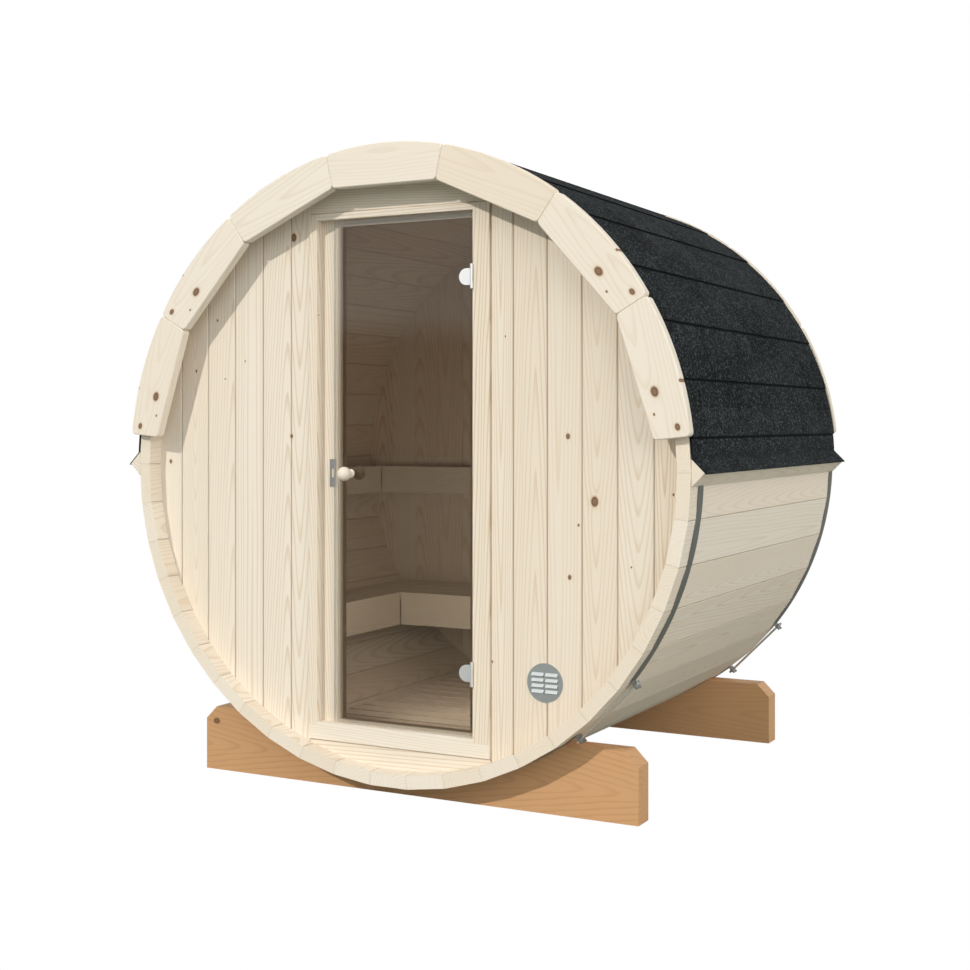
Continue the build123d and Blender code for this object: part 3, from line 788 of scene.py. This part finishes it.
class DressArches(bpy.types.Operator):
    """Arch boards with knots near their lower ends"""

    bl_idname = "sauna.dress_arches"
    bl_label = "Arch boards"

    def execute(self, context):
        arch = wood("arch_spruce", arch_axes, ARCH_KNOTS, low_arch_boards, often=0.0, strength=0.9)
        dress(arch, "front_arch", "back_arch")
        return {"FINISHED"}


class DressRoof(bpy.types.Operator):
    """Granule shingles, felt and eave battens"""

    bl_idname = "sauna.dress_roof"
    bl_label = "Roof"

    def execute(self, context):
        granules = bitumen("bitumen_granules")
        dress(granules, "roof_shingles_left", "roof_shingles_right", "roof_ridge_cap")
        dress(bitumen("bitumen_felt", 0.15), "roof_felt")
        dress(wood("batten_spruce", batten_axes, often=0.05), "eave_batten_left", "eave_batten_right")
        return {"FINISHED"}


class DressHoops(bpy.types.Operator):
    """Zinc-coated hoops and their threaded tension rods"""

    bl_idname = "sauna.dress_hoops"
    bl_label = "Hoops"

    def execute(self, context):
        look = context.scene.sauna_surfaces
        dress(metal("hoop_zinc", look.steel, 0.38, worn=0.08, spangle=0.25), "hoop_front", "hoop_back")
        dress(metal("rod_zinc", look.rod, 0.26, worn=0.05), "hoop_rods_front", "hoop_rods_back")
        return {"FINISHED"}


class DressCradles(bpy.types.Operator):
    """Cradles in an orange-brown stain"""

    bl_idname = "sauna.dress_cradles"
    bl_label = "Cradles"

    def execute(self, context):
        stained = wood("cradle_stained", cradle_axes, CRADLE_KNOTS, everywhere, often=0.05, ring=1.6,
                       strength=0.6, colours=("stain", "stain_grain"))
        dress(stained, "cradle_front", "cradle_back")
        return {"FINISHED"}


class DressInside(bpy.types.Operator):
    """Duckboard, benches and back rests"""

    bl_idname = "sauna.dress_inside"
    bl_label = "Inside"

    def execute(self, context):
        dress(wood("slat_spruce", slats_along_x, often=0.12), "floor_duckboard")
        for name, axes, nodes in (("bench_aspen_x", planks_along_x, ("bench_back", "back_rest_back")),
                                  ("bench_aspen_y", planks_along_y, ("bench_left", "back_rest_left"))):
            dress(wood(name, axes, often=0.03, strength=0.7, colours=("bench", "grain")), *nodes)
        return {"FINISHED"}


class AddScrews(bpy.types.Operator):
    """Countersunk screws in the duckboard, benches, back rests and strike plate"""

    bl_idname = "sauna.add_screws"
    bl_label = "Screws"

    def execute(self, context):
        steel = metal("screw_steel", (0.62, 0.60, 0.56), 0.30, worn=0.10)
        floor = grid(SLAT_BEARERS_X, pairs(SLATS_Y, NARROW_PAIR), [FLOOR_TOP], UP)
        back = grid(BACK_BEARERS_X, pairs(BACK_PLANKS_Y, WIDE_PAIR), [SEAT_TOP], UP)
        left = grid(pairs(LEFT_PLANKS_X, WIDE_PAIR), LEFT_BEARERS_Y, [SEAT_TOP], UP)
        rest_z = pairs([REST_Z], NARROW_PAIR)
        rests = grid(BACK_REST_X, [BACK_REST_Y], rest_z, TO_FRONT)
        rests += grid([LEFT_REST_X], LEFT_REST_Y, rest_z, TO_RIGHT)
        strike = grid([STRIKE_X], [STRIKE_Y], pairs([STRIKE_Z], STRIKE_PAIR), TO_FRONT)
        screw_mesh("floor_screws", floor, SCREW_R, steel)
        screw_mesh("bench_screws", back + left, SCREW_R, steel)
        screw_mesh("rest_screws", rests, SCREW_R, steel)
        screw_mesh("strike_screws", strike, STRIKE_SCREW_R, steel)
        return {"FINISHED"}


# Light, camera and backdrop
CAMERA_PLACE = (2.4473, -4.7203, 1.1896)
CAMERA_TURN = (math.radians(89.99), 0.0, math.radians(27.873))
CAMERA_SHIFT = (-0.0024, -0.0650)
SUN_SPREAD = 0.7
SUN_COLOUR = (1.0, 0.97, 0.91)
FILL_SPREAD = 70.0
FILL_COLOUR = (1.0, 0.99, 0.97)
LAMP_PLACE = (0.05, -0.60, 0.62)
LAMP_SIZE = (0.40, 0.45)
SKY_COLOUR = (0.93, 0.97, 1.0)
GRASS_TINT = (0.96, 1.02, 0.92)
WHITE = (1.0, 1.0, 1.0, 1.0)
FLOOR_HALF = 40.0
TREE_FADE = 0.015


class SaunaStageSettings(bpy.types.PropertyGroup):
    """Light and lens of the photograph"""

    sun: FloatProperty(name="Sun", description="Strength of the low sun", default=1.72, min=0.0)
    sun_way: FloatVectorProperty(
        name="Sun's way", description="Direction in which the sunlight travels", subtype="DIRECTION",
        default=(0.294, 0.803, -0.517))
    fill: FloatProperty(
        name="Fill", description="Strength of the soft light from the right", default=2.0, min=0.0)
    fill_way: FloatVectorProperty(
        name="Fill's way", description="Direction in which the fill light travels", subtype="DIRECTION",
        default=(-0.86, 0.36, -0.36))
    inside: FloatProperty(
        name="Inside", description="Power of the soft light behind the door", unit="POWER",
        default=5.5, min=0.0)
    sky: FloatProperty(
        name="Sky light", description="Strength of the sky overhead", default=0.41, min=0.0)
    horizon: FloatProperty(
        name="Horizon", description="Extra light low in the sky", default=0.75, min=0.0)
    trees: FloatProperty(
        name="Tree line", description="Height of the dark tree line above the horizon",
        default=0.062, min=0.0, max=1.0)
    ground: FloatProperty(
        name="Ground", description="Share of light that the ground throws back", subtype="FACTOR",
        default=0.33, min=0.0, max=1.0)
    lens: FloatProperty(name="Lens", description="Focal length", unit="CAMERA", default=55.2, min=10.0)


class BuildStage(bpy.types.Operator):
    """Camera of the photograph, low sun from the front left, white floor and sky"""

    bl_idname = "sauna.build_stage"
    bl_label = "Stage"

    def execute(self, context):
        look = context.scene.sauna_stage
        self.camera(context, look)
        self.sun(context, "sun", look.sun, look.sun_way, SUN_SPREAD, SUN_COLOUR)
        self.sun(context, "fill", look.fill, look.fill_way, FILL_SPREAD, FILL_COLOUR)
        self.inside(context, look)
        self.sky(context, look)
        self.floor(context, look)
        context.scene.view_settings.view_transform = "Standard"
        return {"FINISHED"}

    def camera(self, context, look):
        data = bpy.data.cameras.new("photo_camera")
        data.sensor_width = 36.0
        data.lens = look.lens
        data.shift_x, data.shift_y = CAMERA_SHIFT
        camera = bpy.data.objects.new("photo_camera", data)
        camera.location = CAMERA_PLACE
        camera.rotation_euler = CAMERA_TURN
        context.scene.collection.objects.link(camera)
        context.scene.camera = camera

    def sun(self, context, name, strength, way, spread, colour):
        data = bpy.data.lights.new(name, "SUN")
        data.energy = strength
        data.angle = math.radians(spread)
        data.color = colour
        self.light(context, name, data, way)

    def inside(self, context, look):
        """Soft light from the doorway that shows the benches through the dark glass."""
        data = bpy.data.lights.new("inside", "AREA")
        data.energy = look.inside
        data.shape = "RECTANGLE"
        data.size, data.size_y = LAMP_SIZE
        lamp = self.light(context, "inside", data, (0.0, 1.0, 0.0))
        lamp.location = LAMP_PLACE
        lamp.visible_camera = False
        lamp.visible_glossy = False

    def light(self, context, name, data, way):
        """Puts a light into the stage so that it shines the given way."""
        lamp = bpy.data.objects.new(name, data)
        lamp.rotation_mode = "QUATERNION"
        lamp.rotation_quaternion = Vector(way).to_track_quat("-Z", "Y")
        context.scene.collection.objects.link(lamp)
        return lamp

    def sky(self, context, look):
        """White backdrop, lit by a sky that is brighter near the horizon, over a dark line of trees."""
        world = bpy.data.worlds.new("soft_sky")
        world.use_nodes = True
        context.scene.world = world
        shade = Shade("soft_sky", world.node_tree)
        height = shade.split(shade.node("ShaderNodeTexCoord", output="Generated"), "Z")
        glow = (height.most(0.0) * -4.0).exp() * look.horizon + look.sky
        open_sky = height.ramp(look.trees - TREE_FADE, look.trees + TREE_FADE)
        sockets = {"Color": (*SKY_COLOUR, 1.0), "Strength": glow * (open_sky * 0.9 + 0.1)}
        light = shade.node("ShaderNodeBackground", None, sockets)
        shown = shade.node("ShaderNodeBackground", None, {"Color": WHITE})
        camera = shade.node("ShaderNodeLightPath", output="Is Camera Ray")
        out = shade.tree.nodes.new("ShaderNodeOutputWorld")
        shade.tree.links.new(shade.blend(camera, light, shown).socket, out.inputs["Surface"])

    def floor(self, context, look):
        """Ground that looks white and throws back a little green light."""
        mesh = bpy.data.meshes.new("white_floor")
        corners = [(x * FLOOR_HALF, y * FLOOR_HALF, 0) for x, y in ((-1, -1), (1, -1), (1, 1), (-1, 1))]
        mesh.from_pydata(corners, [], [(0, 1, 2, 3)])
        floor = bpy.data.objects.new("white_floor", mesh)
        shade = Shade("white_floor")
        seen = shade.node("ShaderNodeEmission", None, {"Color": WHITE, "Strength": 1.0})
        grass = (*darker(GRASS_TINT, look.ground), 1.0)
        lit = shade.node("ShaderNodeBsdfDiffuse", None, {"Color": grass})
        camera = shade.node("ShaderNodeLightPath", output="Is Camera Ray")
        mesh.materials.append(shade.finish(shade.blend(camera, lit, seen)))
        context.scene.collection.objects.link(floor)


class SaunaPanel(bpy.types.Panel):
    """Buttons and settings in the sidebar"""

    bl_idname = "VIEW3D_PT_sauna"
    bl_label = "Barrel sauna"
    bl_space_type = "VIEW_3D"
    bl_region_type = "UI"
    bl_category = "Sauna"

    def draw(self, context):
        for operator in OPERATORS:
            self.layout.operator(operator.bl_idname)
        for name in GROUPS:
            group = getattr(context.scene, name)
            box = self.layout.box()
            for key in group.__annotations__:
                box.prop(group, key)


GROUPS = {
    "sauna_wood": SaunaWoodSettings,
    "sauna_surfaces": SaunaSurfaceSettings,
    "sauna_stage": SaunaStageSettings,
}
OPERATORS = (
    DressStaves, DressEndWalls, DressDoorFrame, DressDoor, DressVent, DressArches, DressRoof,
    DressHoops, DressCradles, DressInside, AddScrews, BuildStage,
)


def register():
    for key, group in GROUPS.items():
        bpy.utils.register_class(group)
        setattr(bpy.types.Scene, key, PointerProperty(type=group))
    for operator in OPERATORS:
        bpy.utils.register_class(operator)
    bpy.utils.register_class(SaunaPanel)


def unregister():
    bpy.utils.unregister_class(SaunaPanel)
    for operator in reversed(OPERATORS):
        bpy.utils.unregister_class(operator)
    for key, group in GROUPS.items():
        delattr(bpy.types.Scene, key)
        bpy.utils.unregister_class(group)


def main():
    register()
    for operator in OPERATORS:
        step = operator.bl_idname.split(".")[1]
        getattr(bpy.ops.sauna, step)()


if __name__ == "__main__":
    main()
